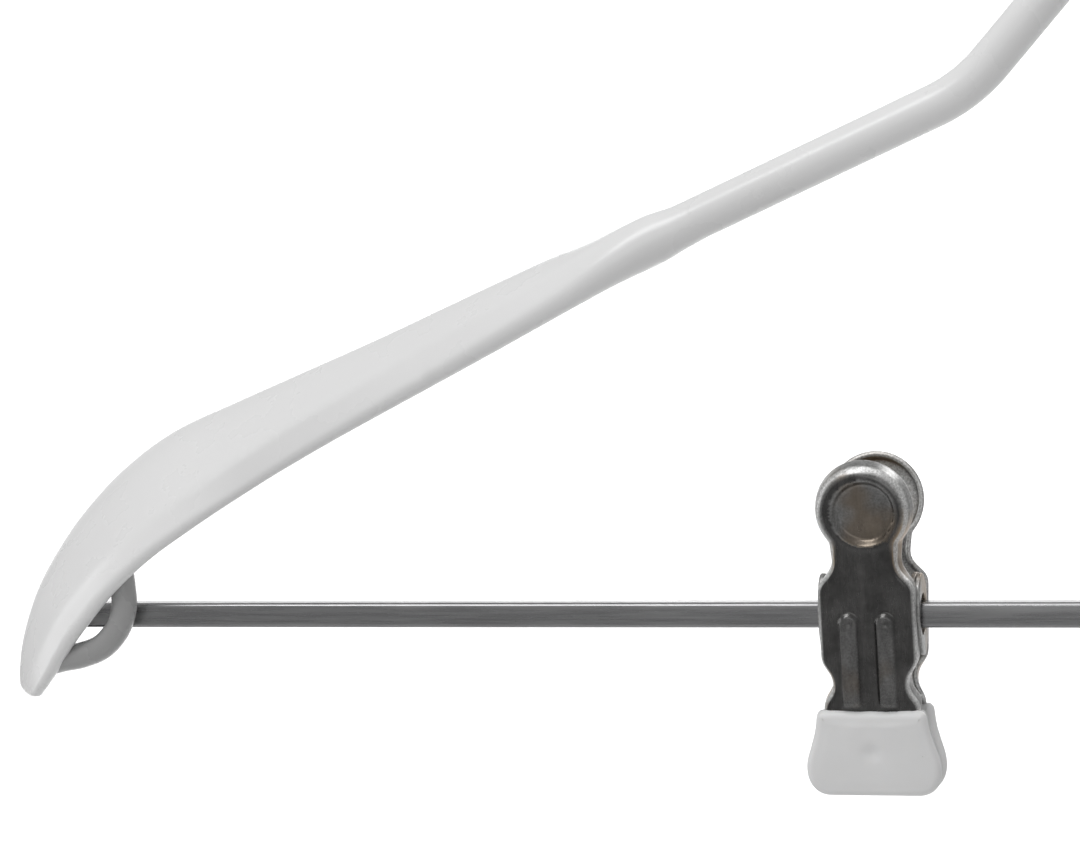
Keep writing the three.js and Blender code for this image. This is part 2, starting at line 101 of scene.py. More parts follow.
# Neck tube.
TUBE_R = 3.7
ARCH_R = 24
ARCH_APEX_Z = -74.7
NECK_SLOPE = 48.5
SHOULDER_BEND_R = 28
SHOULDER_SLOPE = 23.5
NECK_CORNER_X = 47.2
TUBE_END_X = 104
FLAT_DEPTH = 0.9
FLAT_HALF = 6.2
NECK_HOLE_R = 2.62
NECK_DRILL_LENGTH = 24

# Shoulder leaf: stations down its centre line, from the tube to the tip.
# Each is [x, z, width, thickness, roll, share of the plate section (0 is oval), sharpness of
# the front crease].
LEAF_STATIONS = np.array([
    [94.0, -136.2, 7.34, 7.34, 0, 0.0, 1.0],
    [98.0, -138.0, 7.9, 7.8, 0, 0.0, 1.0],
    [101.8, -139.6, 8.9, 8.7, 0, 0.0, 1.0],
    [107, -141.9, 9.7, 8.6, 12, 0.12, 1.0],
    [113, -144.4, 9.9, 7.4, 21, 0.38, 1.0],
    [120, -147.3, 10.1, 5.8, 28, 0.7, 1.0],
    [135, -154.2, 10.8, 4.6, 34, 0.95, 1.0],
    [150, -161.1, 12.6, 3.8, 37, 1.0, 1.0],
    [165, -167.8, 15.8, 3.2, 38, 1.0, 0.95],
    [178, -173.8, 19.7, 2.8, 38, 1.0, 0.85],
    [190, -179.9, 23.8, 2.8, 38, 1.0, 0.6],
    [199, -186.1, 24.2, 2.8, 38, 1.0, 0.4],
    [206, -192.6, 22.9, 2.8, 38, 1.0, 0.35],
    [210.8, -198.3, 21.2, 2.8, 38, 1.0, 0.35],
    [214.4, -203.5, 18.9, 2.8, 38, 1.0, 0.4],
    [216.9, -208.4, 15.8, 2.7, 38, 1.0, 0.45],
    [218.6, -212.8, 12.4, 2.6, 38, 1.0, 0.5],
    [219.7, -216.4, 9.0, 2.5, 38, 0.9, 0.5],
    [220.2, -218.5, 6.4, 2.3, 38, 0.8, 0.5],
])
LEAF_FRONT_BAND = 4.2
LEAF_BAND_SHARE = 0.36
LEAF_FRONT_BEND = 44.0
LEAF_BACK_BEND = 12.0
LEAF_BOW = 8.0

# Skirt loop: [x, y, z, wire radius], its ends inside the leaf.
LOOP_PATH = np.array([
    [201.6, -4.0, -193.0, 1.1],
    [200.3, -4.7, -196.0, 2.2],
    [199.8, -4.9, -199.6, 2.3],
    [199.8, -4.9, -203.0, 2.3],
    [201.2, -4.9, -206.8, 2.3],
    [204.3, -4.6, -210.0, 2.3],
    [208.6, -3.6, -211.7, 2.35],
    [212.6, -2.6, -212.5, 2.4],
    [216.0, -1.8, -213.6, 2.2],
    [218.0, -1.2, -215.2, 0.9],
])

# Clip bar.
BAR_EDGE_R = 0.75

# Clips, about the bar's axis before a half is tilted.
HALF_TILT = 8.7
SHEET_T = 0.9
SHEET_OUTER_Y = -7.0
FLANGE = 3.9
EAR_HOLE_R = 3.6
EAR_EASE = 0.3
EAR_R = 7.2
FRONT_EAR_DEPTH_R = 4.5
REAR_EAR_DEPTH_R = 5.6
FRONT_EAR_X = (7.9, 8.8)
REAR_EAR_X = (6.95, 7.85)
FRONT_PIVOT_HALF = 8.35
REAR_PIVOT_HALF = 8.75
HEAD_R = 8.15
HEAD_Z = 19.7
NECK_HALF = 5.6
NECK_Z = 11.0
DISH_R = 5.7
DISH_X = 0.5
DISH_DEPTH = 1.0
RIB_X = 3.15
RIB_HALF = 2.05
RIB_HEIGHT = 0.85
RIB_TOP_Z = 2.4
RIB_DIMPLE_Z = 0.7
JAW_TOP_Z = -15.2
JAW_BOTTOM_Z = -30.5
JAW_ROUND = 1.45
JAW_THICKNESS = 3.1
JAW_DENT_Z = -22.4
SPRING_WIRE_R = 0.65
SPRING_R = 4.1
SPRING_TURNS = 5.5
SPRING_LENGTH = 7.5
SPRING_LEG_Z = 13.0


# ---------------------------------------------------------------- node material helpers

def new_material(name):
    material = bpy.data.materials.new(name)
    material.use_nodes = True
    nodes = material.node_tree.nodes
    nodes.clear()
    output = nodes.new("ShaderNodeOutputMaterial")
    shader = nodes.new("ShaderNodeBsdfPrincipled")
    material.node_tree.links.new(shader.outputs["BSDF"], output.inputs["Surface"])
    return material, shader


def object_coords(material, scale=(1.0, 1.0, 1.0)):
    nodes = material.node_tree.nodes
    coords = nodes.new("ShaderNodeTexCoord")
    mapping = nodes.new("ShaderNodeMapping")
    mapping.inputs["Scale"].default_value = scale
    material.node_tree.links.new(coords.outputs["Object"], mapping.inputs["Vector"])
    return mapping.outputs["Vector"]


def noise(material, vector, scale, detail=3.0, roughness=0.5):
    node = material.node_tree.nodes.new("ShaderNodeTexNoise")
    node.inputs["Scale"].default_value = scale
    node.inputs["Detail"].default_value = detail
    node.inputs["Roughness"].default_value = roughness
    material.node_tree.links.new(vector, node.inputs["Vector"])
    return node.outputs["Fac"]


def ramp(material, value, stops):
    """Colour ramp over value; stops are (position, grey or colour)."""
    node = material.node_tree.nodes.new("ShaderNodeValToRGB")
    elements = node.color_ramp.elements
    while len(elements) < len(stops):
        elements.new(0.5)
    for element, (position, colour) in zip(elements, stops):
        element.position = position
        rgb = (colour,) * 3 if isinstance(colour, float) else colour
        element.color = (*rgb, 1.0)
    material.node_tree.links.new(value, node.inputs["Fac"])
    return node.outputs["Color"]


def mix_colour(material, factor, a, b, blend="MIX"):
    node = material.node_tree.nodes.new("ShaderNodeMix")
    node.data_type = "RGBA"
    node.blend_type = blend
    links = material.node_tree.links
    for socket, value in ((node.inputs[0], factor), (node.inputs[6], a), (node.inputs[7], b)):
        if isinstance(value, bpy.types.NodeSocket):
            links.new(value, socket)
        else:
            socket.default_value = value
    return node.outputs[2]


def bump(material, shader, *layers):
    """Stacked bumps: each layer is (height socket, depth in metres)."""
    links = material.node_tree.links
    normal = None
    for height, depth in layers:
        node = material.node_tree.nodes.new("ShaderNodeBump")
        node.inputs["Strength"].default_value = 1.0
        node.inputs["Distance"].default_value = depth
        links.new(height, node.inputs["Height"])
        if normal is not None:
            links.new(normal, node.inputs["Normal"])
        normal = node.outputs["Normal"]
    links.new(normal, shader.inputs["Normal"])


# ---------------------------------------------------------------- materials

def coat_material(name, tone):
    """Glossy dip coat: a faint orange peel and slow waves where it ran."""
    material, shader = new_material(name)
    vector = object_coords(material)
    slow = noise(material, vector, 28, 2)
    fine = noise(material, vector, 180, 2)
    links = material.node_tree.links
    links.new(ramp(material, slow, [(0.2, tone), (0.8, tone + 0.03)]),
              shader.inputs["Base Color"])
    links.new(ramp(material, noise(material, vector, 120, 4), [(0.3, 0.24), (0.75, 0.34)]),
              shader.inputs["Roughness"])
    shader.inputs["Coat Weight"].default_value = 0.35
    shader.inputs["Coat Roughness"].default_value = 0.2
    bump(material, shader, (slow, 0.0001), (fine, 0.000003))
    return material


def vinyl_material():
    """Satin dipped vinyl with a soft skin and a few dark specks."""
    material, shader = new_material("white_vinyl")
    vector = object_coords(material)
    links = material.node_tree.links
    cells = material.node_tree.nodes.new("ShaderNodeTexVoronoi")
    cells.inputs["Scale"].default_value = 330
    links.new(vector, cells.inputs["Vector"])
    speck = ramp(material, cells.outputs["Distance"], [(0.028, 1.0), (0.05, 0.0)])
    rare = ramp(material, noise(material, vector, 260, 1), [(0.62, 0.0), (0.66, 1.0)])
    mask = mix_colour(material, 1.0, speck, rare, "MULTIPLY")
    tone = ramp(material, noise(material, vector, 90, 3),
                [(0.3, 0.80), (0.7, 0.84)])
    links.new(mix_colour(material, mask, tone, (0.16, 0.15, 0.14, 1.0)), shader.inputs["Base Color"])
    links.new(ramp(material, noise(material, vector, 300, 3), [(0.3, 0.36), (0.7, 0.5)]),
              shader.inputs["Roughness"])
    shader.inputs["Subsurface Weight"].default_value = 0.12
    shader.inputs["Subsurface Radius"].default_value = (0.0012, 0.0011, 0.001)
    bump(material, shader, (noise(material, vector, 160, 2), 0.00008),
         (noise(material, vector, 900, 3), 0.00001))
    return material


def dark_nickel_material():
    """Stamped sheet with a dark nickel plating: cloudy, worn bright on its edges with a painted highlight
    on its rims and a painted reflection on its inner face, brown in places.
    """
    material, shader = new_material("dark_nickel")
    vector = object_coords(material)
    streak_vector = object_coords(material, (1.0, 1.0, 0.12))
    links = material.node_tree.links
    wear_and_sheen_node = material.node_tree.nodes.new("ShaderNodeAttribute")
    wear_and_sheen_node.attribute_name = "wear_and_sheen"
    clouds = noise(material, vector, 230, 5, 0.6)
    grain = noise(material, vector, 2600, 3, 0.7)
    streaks = noise(material, streak_vector, 900, 4, 0.6)
    dark = ramp(material, clouds, [(0.3, (0.062, 0.061, 0.06)), (0.7, (0.112, 0.11, 0.108))])
    bright = ramp(material, grain, [(0.35, (0.46, 0.46, 0.455)), (0.65, (0.88, 0.88, 0.87))])
    tarnish = ramp(material, noise(material, vector, 85, 3), [(0.47, 0.0), (0.62, 0.8)])
    clean = ramp(material, wear_and_sheen_node.outputs["Fac"], [(0.6, 1.0), (0.85, 0.15)])
    tarnish = mix_colour(material, 1.0, tarnish, clean, "MULTIPLY")
    bright = mix_colour(material, tarnish, bright, (0.52, 0.36, 0.20, 1.0))
    # The base tone is lifted along the wear-and-sheen attribute: rubbed edges that are partly a painted
    # highlight, and a painted reflection on the inner skin.
    tone = mix_colour(material, wear_and_sheen_node.outputs["Fac"], dark, bright)
    links.new(mix_colour(material, 0.3, tone,
                         ramp(material, streaks, [(0.3, 0.25), (0.7, 0.75)]), "OVERLAY"),
              shader.inputs["Base Color"])
    shader.inputs["Metallic"].default_value = 1.0
    rough = ramp(material, streaks, [(0.3, 0.2), (0.75, 0.34)])
    rough = mix_colour(material, wear_and_sheen_node.outputs["Fac"], rough, (0.5, 0.5, 0.5, 1.0))
    links.new(rough, shader.inputs["Roughness"])
    bump(material, shader, (clouds, 0.00003), (grain, 0.000012))
    return material


def metal_material(name, low, high, rough, grain=None, depth=0.000006, scale=500):
    """Bright metal between two tones; grain stretches its marks along one axis."""
    material, shader = new_material(name)
    vector = object_coords(material, grain or (1.0, 1.0, 1.0))
    links = material.node_tree.links
    marks = noise(material, vector, scale, 4, 0.6)
    links.new(ramp(material, marks, [(0.3, low), (0.7, high)]), shader.inputs["Base Color"])
    shader.inputs["Metallic"].default_value = 1.0
    links.new(ramp(material, marks, [(0.3, rough[0]), (0.7, rough[1])]), shader.inputs["Roughness"])
    bump(material, shader, (marks, depth))
    return material


def nylon_material():
    material, shader = new_material("nylon")
    vector = object_coords(material)
    links = material.node_tree.links
    links.new(ramp(material, noise(material, vector, 300, 3),
                   [(0.3, (0.70, 0.70, 0.67)), (0.7, (0.76, 0.76, 0.73))]), shader.inputs["Base Color"])
    links.new(ramp(material, noise(material, vector, 600, 2), [(0.3, 0.42), (0.7, 0.58)]),
              shader.inputs["Roughness"])
    shader.inputs["Subsurface Weight"].default_value = 0.1
    shader.inputs["Subsurface Radius"].default_value = (0.001, 0.001, 0.001)
    bump(material, shader, (noise(material, vector, 1200, 2), 0.000008))
    return material


def backdrop_material():
    material, shader = new_material("studio_backdrop")
    vector = object_coords(material)
    links = material.node_tree.links
    links.new(ramp(material, noise(material, vector, 3, 2), [(0.3, 0.78), (0.7, 0.81)]),
              shader.inputs["Base Color"])
    shader.inputs["Roughness"].default_value = 0.95
    return material


COAT = coat_material("white_coat", 0.81)
# Painted shade: the loops are white coat like the rest, but their base is set to grey to stand for the
# shadow they hang in under the leaves.
LOOP_COAT_PAINTED_SHADE = coat_material("loop_coat_painted_shade", 0.34)
VINYL = vinyl_material()
NICKEL = dark_nickel_material()
CHROME = metal_material("chrome_wire", (0.66, 0.66, 0.67), (0.74, 0.74, 0.75), (0.07, 0.13))
# Painted dark reflection: the chrome bar's base is set dark grey to stand for the dark surroundings it
# mirrors.
BAR_METAL_PAINTED_DARK = metal_material("satin_chrome_painted_dark", (0.25, 0.25, 0.254), (0.33, 0.33, 0.334), (0.22, 0.34),
                           grain=(0.04, 1.0, 1.0), depth=0.00001, scale=1400)
SPRING_METAL = metal_material("spring_steel", (0.30, 0.30, 0.31), (0.42, 0.42, 0.43), (0.24, 0.36))
NYLON = nylon_material()
BACKDROP = backdrop_material()


# ---------------------------------------------------------------- mesh helpers

def piece(name, points, faces, material, body, replaces, slot, wear_and_sheen=None):
    """A smooth mesh piece from points in millimetres, riding on a body."""
    mesh = bpy.data.meshes.new(name)
    mesh.from_pydata([tuple(p) for p in np.asarray(points) * MM], [], [tuple(f) for f in faces])
    # Per-point wear and painted sheen for the stamped halves' base tone.
    if wear_and_sheen is not None:
        layer = mesh.attributes.new("wear_and_sheen", "FLOAT", "POINT")
        layer.data.foreach_set("value", np.asarray(wear_and_sheen, dtype=np.float32))
    mesh.validate()
    work = bmesh.new()
    work.from_mesh(mesh)
    bmesh.ops.remove_doubles(work, verts=work.verts, dist=1e-7)
    bmesh.ops.recalc_face_normals(work, faces=work.faces)
    work.to_mesh(mesh)
    work.free()
    mesh.shade_smooth()
    mesh.materials.append(material)
    obj = bpy.data.objects.new(name, mesh)
    bpy.context.scene.collection.objects.link(obj)
    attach(obj, body)
    if replaces:
        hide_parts(*replaces)
    return obj


def joined(*parts):
    """Several (points, faces) as one."""
    points, faces, base = [], [], 0
    for part_points, part_faces in parts:
        points.append(np.asarray(part_points, float))
        faces += [tuple(i + base for i in face) for face in part_faces]
        base += len(part_points)
    return np.vstack(points), faces


def ring_faces(rows, columns, close_ends=True):
    """Quads round a stack of closed rings, with one face over each end if asked."""
    faces = []
    for i in range(rows - 1):
        for j in range(columns):
            a, b = i * columns + j, i * columns + (j + 1) % columns
            faces.append((a, b, b + columns, a + columns))
    if close_ends:
        faces.append(tuple(range(columns))[::-1])
        faces.append(tuple(range((rows - 1) * columns, rows * columns)))
    return faces


def frames_along(path):
    """Tangent, side and up at each point of a path, turned as little as possible."""
    path = np.asarray(path, float)
    tangents = np.gradient(path, axis=0)
    tangents /= np.linalg.norm(tangents, axis=1)[:, None]
    side = np.array([0.0, 1.0, 0.0])
    if abs(tangents[0] @ side) > 0.9:
        side = np.array([1.0, 0.0, 0.0])
    sides = []
    for tangent in tangents:
        side = side - tangent * (side @ tangent)
        side /= np.linalg.norm(side)
        sides.append(side)
    sides = np.array(sides)
    return tangents, sides, np.cross(tangents, sides)


def tube(path, radii, sides=32):
    """Round tube through a path; radii is one radius or one for each point."""
    path = np.asarray(path, float)
    radii = np.broadcast_to(radii, len(path))
    _, side, up = frames_along(path)
    angle = np.linspace(0, 2 * math.pi, sides, endpoint=False)
    rings = (path[:, None, :]
             + radii[:, None, None] * (np.cos(angle)[None, :, None] * side[:, None, :]
                                       + np.sin(angle)[None, :, None] * up[:, None, :]))
    return rings.reshape(-1, 3), ring_faces(len(path), sides)


def rounded_ends(path, radius, steps=6, start=True, end=True):
    """A path and its radii with half-ball ends added beyond its first or last point."""
    path = np.asarray(path, float)
    radii = np.full(len(path), float(radius))
    angle = np.linspace(0, math.pi / 2, steps + 1)[1:]
    reach, shrink = radius * np.sin(angle), np.maximum(radius * np.cos(angle), radius * 0.02)
    if start:
        along = path[0] - path[1]
        along /= np.linalg.norm(along)
        path = np.vstack([(path[0] + reach[:, None] * along)[::-1], path])
        radii = np.concatenate([shrink[::-1], radii])
    if end:
        along = path[-1] - path[-2]
        along /= np.linalg.norm(along)
        path = np.vstack([path, path[-1] + reach[:, None] * along])
        radii = np.concatenate([radii, shrink])
    return path, radii


def arc(cx, cz, radius, start, stop, steps, y=0.0):
    angle = np.radians(np.linspace(start, stop, steps + 1))
    return np.stack([cx + radius * np.cos(angle), np.full(len(angle), float(y)),
                     cz + radius * np.sin(angle)], axis=1)


def turned(profile, sides=64):
    """A solid of revolution about Z from [radius, z] points of a closed profile."""
    profile = np.asarray(profile, float)
    angle = np.linspace(0, 2 * math.pi, sides, endpoint=False)
    points = np.stack([
        profile[None, :, 0] * np.cos(angle)[:, None],
        profile[None, :, 0] * np.sin(angle)[:, None],
        np.broadcast_to(profile[None, :, 1], (sides, len(profile))),
    ], axis=2).reshape(-1, 3)
    count = len(profile)
    faces = []
    for i in range(sides):
        for j in range(count):
            a, b = i * count + j, i * count + (j + 1) % count
            c, d = ((i + 1) % sides) * count + (j + 1) % count, ((i + 1) % sides) * count + j
            faces.append((a, b, c, d))
    return points, faces


def softened(corners, radius, steps=4):
    """A closed [r, z] outline with every corner off the axis rounded."""
    corners = [np.asarray(c, float) for c in corners]
    out = []
    for i, corner in enumerate(corners):
        before, after = corners[i - 1], corners[(i + 1) % len(corners)]
        to_before, to_after = before - corner, after - corner
        reach = min(radius, 0.45 * np.linalg.norm(to_before), 0.45 * np.linalg.norm(to_after))
        if corner[0] < 1e-9:
            out.append(corner)
            continue
        a = corner + to_before / np.linalg.norm(to_before) * reach
        b = corner + to_after / np.linalg.norm(to_after) * reach
        for t in np.linspace(0, 1, steps + 1):
            out.append((1 - t) ** 2 * a + 2 * t * (1 - t) * corner + t * t * b)
    return np.array(out)


def smooth_step(low, high, value):
    t = np.clip((np.asarray(value, float) - low) / (high - low), 0, 1)
    return t * t * (3 - 2 * t)


def mirrored_x(points):
    return np.asarray(points) * np.array([-1.0, 1.0, 1.0])


def box_mm(node):
    low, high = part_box(node)
    return np.array(low) / MM, np.array(high) / MM


# ---------------------------------------------------------------- hook and swivel

def build_hook():
    low, high = box_mm("hook")
    bend_radius = (high[0] - low[0]) / 2 - HOOK_WIRE_R
    top = high[2] - HOOK_WIRE_R
    centre_z = top - bend_radius
    reach = math.sqrt((bend_radius + HOOK_BEND_R) ** 2 - HOOK_BEND_R ** 2)
    turn = math.degrees(math.atan2(-reach, HOOK_BEND_R))
    collar_low, _ = box_mm("hook_collar")
    round_part = arc(0, centre_z, bend_radius, HOOK_TIP_DEG, turn, 120)
    bend = arc(HOOK_BEND_R, centre_z - reach, HOOK_BEND_R, turn + 180, 180, 24)
    down_z = np.linspace(centre_z - reach, collar_low[2] - 0.4, 8)[1:]
    down = np.stack([np.zeros(7), np.zeros(7), down_z], axis=1)
    path = np.vstack([round_part, bend[1:], down])
    path, radii = rounded_ends(path, HOOK_WIRE_R, start=True, end=False)
    shank_z = np.array([collar_low[2] - 0.4, collar_low[2] - 0.7, low[2] + 0.3, low[2]])
    shank = np.stack([np.zeros(4), np.zeros(4), shank_z], axis=1)
    shank_radii = np.array([HOOK_WIRE_R, SHANK_R, SHANK_R, SHANK_R - 0.3])
    path = np.vstack([path[:-1], shank])
    radii = np.concatenate([radii[:-1], shank_radii])
    points, faces = tube(path, radii, 40)
    piece("hook_wire", points, faces, CHROME, "hook_body", ["hook"], "chrome_wire")


def build_swivel():
    low, high = box_mm("hook_collar")
    bore, radius = HOOK_WIRE_R + PRESS_FIT, high[0]
    groove = (low[2] + high[2]) / 2
    waist = radius - COLLAR_GROOVE
    collar = softened([[bore, low[2]], [radius, low[2]], [radius, groove - 2 * COLLAR_GROOVE],
                       [waist, groove - COLLAR_GROOVE], [waist, groove + COLLAR_GROOVE],
                       [radius, groove + 2 * COLLAR_GROOVE], [radius, high[2] - 1.0],
                       [radius - 1.0, high[2]], [bore, high[2]]], COLLAR_LIP)
    piece("hook_collar_sleeve", *turned(collar), CHROME, "hook_body", ["hook_collar"], "chrome_wire")
    for name, node in (("upper_washer", "swivel_upper_washer"), ("lower_washer", "swivel_lower_washer")):
        low, high = box_mm(node)
        bore, radius = SHANK_R + SHANK_CLEARANCE, high[0]
        ring = softened([[bore, low[2]], [radius, low[2]], [radius, high[2]], [bore, high[2]]],
                        WASHER_EDGE_R, 5)
        piece(name, *turned(ring), NYLON, "frame", [node], "nylon")
    low, high = box_mm("swivel_bushing")
    bore, radius, flange_z = SHANK_R + SHANK_CLEARANCE, high[0], high[2] - BUSHING_FLANGE
    body = softened([[bore, low[2]], [BUSHING_BARREL_R, low[2]], [BUSHING_BARREL_R, flange_z],
                     [radius, flange_z], [radius, high[2]], [bore, high[2]]], BUSHING_EDGE_R)
    piece("neck_bushing", *turned(body), NYLON, "frame", ["swivel_bushing"], "nylon")
    low, high = box_mm("hook_cap_nut")
    radius, bore = high[0], SHANK_R + PRESS_FIT
    dome = [[0.0, low[2]]]
    for angle in np.radians(np.linspace(80, 0, 8)):
        dome.append([radius * math.cos(angle), low[2] + NUT_DOME - NUT_DOME * math.sin(angle)])
    dome += [[radius, high[2] - 0.2], [radius - 0.2, high[2]], [bore, high[2]],
             [bore, low[2] + 0.9], [0.0, low[2] + 0.9]]
    piece("domed_nut", *turned(dome), CHROME, "hook_body", ["hook_cap_nut"], "chrome_wire")


# ---------------------------------------------------------------- neck tube

def neck_half_path():
    """Centre line of the right half of the neck tube, from the arch's top outwards."""
    arch = arc(0, ARCH_APEX_Z - ARCH_R, ARCH_R, 90, 90 - NECK_SLOPE, 30)
    top = arch[-1]
    corner_z = top[2] - (NECK_CORNER_X - top[0]) * math.tan(math.radians(NECK_SLOPE))
    set_back = SHOULDER_BEND_R * math.tan(math.radians(NECK_SLOPE - SHOULDER_SLOPE) / 2)
    slope = math.radians(NECK_SLOPE)
    start = np.array([NECK_CORNER_X - set_back * math.cos(slope), corner_z + set_back * math.sin(slope)])
    centre = start + SHOULDER_BEND_R * np.array([math.sin(slope), math.cos(slope)])
    bend = arc(centre[0], centre[1], SHOULDER_BEND_R, 270 - NECK_SLOPE, 270 - SHOULDER_SLOPE, 18)
    neck = np.linspace(top, bend[0], 14)[1:-1]
    last = bend[-1]
    end = last + (TUBE_END_X - last[0]) * np.array([1, 0, -math.tan(math.radians(SHOULDER_SLOPE))])
    shoulder = np.linspace(last, end, 26)[1:]
    return np.vstack([arch, neck, bend, shoulder])


def build_neck_tube():
    right = neck_half_path()
    path = np.vstack([mirrored_x(right)[::-1], right[1:]])
    points, faces = tube(path, TUBE_R, 56)
    near = 1 - smooth_step(FLAT_HALF - 1.2, FLAT_HALF + 2.0, np.abs(points[:, 0]))
    top = ARCH_APEX_Z + TUBE_R - FLAT_DEPTH
    bottom = ARCH_APEX_Z - TUBE_R + FLAT_DEPTH
    over = np.maximum(points[:, 2] - top, 0)
    under = np.maximum(bottom - points[:, 2], 0) * (np.abs(points[:, 0]) < FLAT_HALF + 2)
    points[:, 2] += near * (under - over)
    tube_piece = piece("neck_tube_coated", points, faces, COAT, "frame", ["neck_tube"], "white_coat")
    drill(tube_piece, Vector((0, 0, ARCH_APEX_Z)) * MM, NECK_HOLE_R * MM, NECK_DRILL_LENGTH * MM)


def drill(target, centre, radius, length):
    """Cuts a round upright hole through a piece's mesh."""
    cutter_mesh = bpy.data.meshes.new("cutter")
    work = bmesh.new()
    bmesh.ops.create_cone(work, cap_ends=True, segments=48, radius1=radius, radius2=radius,
                          depth=length, matrix=Matrix.Translation(centre))
    work.to_mesh(cutter_mesh)
    work.free()
    cutter = bpy.data.objects.new("cutter", cutter_mesh)
    bpy.context.scene.collection.objects.link(cutter)
    modifier = target.modifiers.new("hole", "BOOLEAN")
    modifier.object = cutter
    modifier.operation = "DIFFERENCE"
    modifier.solver = "EXACT"
    bake_modifiers(target)
    bpy.data.objects.remove(cutter)
    bpy.data.meshes.remove(cutter_mesh)


def bake_modifiers(obj):
    """Writes an object's modifiers into its mesh."""
    bpy.context.view_layer.update()
    depsgraph = bpy.context.evaluated_depsgraph_get()
    baked = bpy.data.meshes.new_from_object(obj.evaluated_get(depsgraph))
    old = obj.data
    obj.modifiers.clear()
    obj.data = baked
    bpy.data.meshes.remove(old)


# ---------------------------------------------------------------- shoulder leaves

def spline_rows(table, steps):
    """Smooth rows between the rows of a table, steps to each span."""
    count = len(table)
    rows = []
    for i in range(count - 1):
        before, after = table[max(i - 1, 0)], table[min(i + 2, count - 1)]
        slope_in, slope_out = (table[i + 1] - before) / 2, (after - table[i]) / 2
        rise = table[i + 1] - table[i]
        for t in np.arange(steps) / steps:
            rows.append(table[i] + t * slope_in + t ** 2 * (3 * rise - 2 * slope_in - slope_out)
                        + t ** 3 * (slope_in + slope_out - 2 * rise))
    rows.append(table[-1])
    return np.array(rows)


def plate_section(width, thickness, crease, count):
    """Closed section of the pressed plate: bowed, its front edge turned down, its edges round."""
    half = count // 2
    edge = max(count // 12, 3)
    flat = half - edge
    run = np.linspace(0, width, flat)
    band = min(LEAF_FRONT_BAND, LEAF_BAND_SHARE * width)
    size = min(width / 20.0, 1.0)
    soft = 0.4 + 2.2 * (1 - crease)
    angle = (LEAF_BACK_BEND * size * (1 - smooth_step(0, 0.35 * width, run))
             - LEAF_BOW * size * (run / width - 0.4)
             - LEAF_FRONT_BEND * size * crease * smooth_step(width - band - soft, width - band + soft, run))
    angle = np.radians(angle)
    step = run[1] - run[0]
    across = width / 2 - np.concatenate([[0], np.cumsum(np.cos(angle[:-1]) * step)])
    rise = np.concatenate([[0], np.cumsum(np.sin(angle[:-1]) * step)])
    rise -= rise.mean()
    normal = np.stack([np.sin(angle), np.cos(angle)], axis=1)
    middle = np.stack([across, rise], axis=1)
    top = middle + normal * thickness / 2
    bottom = (middle - normal * thickness / 2)[::-1]
    turn = np.linspace(0, math.pi, edge + 2)[1:-1]

    def cap(centre, up, out):
        return centre + thickness / 2 * (np.cos(turn)[:, None] * up + np.sin(turn)[:, None] * out)

    front_out = np.array([-normal[-1][1], normal[-1][0]])
    back_out = np.array([normal[0][1], -normal[0][0]])
    front = cap(middle[-1], normal[-1], front_out)
    back = cap(middle[0], -normal[0], back_out)
    return np.vstack([top, front, bottom, back])


def round_section(radius_a, radius_g, count):
    angle = np.linspace(0, 2 * math.pi, count, endpoint=False)
    return np.stack([radius_a * np.cos(angle), radius_g * np.sin(angle)], axis=1)


def resampled(section, count):
    """A closed section with count points evenly spaced, starting nearest its back edge."""
    closed = np.vstack([section, section[:1]])
    run = np.concatenate([[0], np.cumsum(np.linalg.norm(np.diff(closed, axis=0), axis=1))])
    start = run[np.argmax(closed[:-1, 0])]
    want = (start + np.linspace(0, run[-1], count, endpoint=False)) % run[-1]
    return np.stack([np.interp(want, run, closed[:, 0]), np.interp(want, run, closed[:, 1])], axis=1)


def leaf_rings(steps=9, count=112):
    rows = spline_rows(LEAF_STATIONS, steps)
    centres = np.stack([rows[:, 0], np.zeros(len(rows)), rows[:, 1]], axis=1)
    tangents = np.gradient(centres, axis=0)
    tangents /= np.linalg.norm(tangents, axis=1)[:, None]
    rings = []
    for row, centre, along in zip(rows, centres, tangents):
        _, _, width, thickness, roll, share, crease = row
        normal = np.cross(np.array([0.0, -1.0, 0.0]), along)
        roll = math.radians(roll)
        across = math.cos(roll) * np.array([0, 1.0, 0]) + math.sin(roll) * normal
        face = -math.sin(roll) * np.array([0, 1.0, 0]) + math.cos(roll) * normal
        plate = resampled(plate_section(width, thickness, crease, count), count)
        oval = resampled(round_section(width / 2, thickness / 2, count), count)
        section = (1 - share) * oval + share * plate
        rings.append(centre + section[:, :1] * across + section[:, 1:] * face)
    return rings


def build_leaves():
    rings = leaf_rings()
    tip = np.mean(rings[-1], axis=0)
    along = tip - np.mean(rings[-2], axis=0)
    along /= np.linalg.norm(along)
    last = rings[-1]
    for share, reach in ((0.85, 0.45), (0.6, 0.8), (0.25, 1.0)):
        rings.append(tip + (last - tip) * share + along * reach)
    points = np.vstack(rings)
    faces = ring_faces(len(rings), len(rings[0]))
    for side, label in ((1, "right"), (-1, "left")):
        placed = points if side > 0 else mirrored_x(points)
        piece(f"{label}_leaf", placed, faces, COAT, "frame", [f"{label}_shoulder_leaf"], "white_coat")


def build_loops():
    rows = spline_rows(LOOP_PATH, 8)
    path, radii = rows[:, :3], rows[:, 3]
    points, faces = tube(path, radii, 36)
    for side, label in ((1, "right"), (-1, "left")):
        placed = points if side > 0 else mirrored_x(points)
        # The loops take the grey painted-shade coat.
        piece(f"{label}_loop", placed, faces, LOOP_COAT_PAINTED_SHADE, "frame", [f"{label}_skirt_loop"], "white_coat")


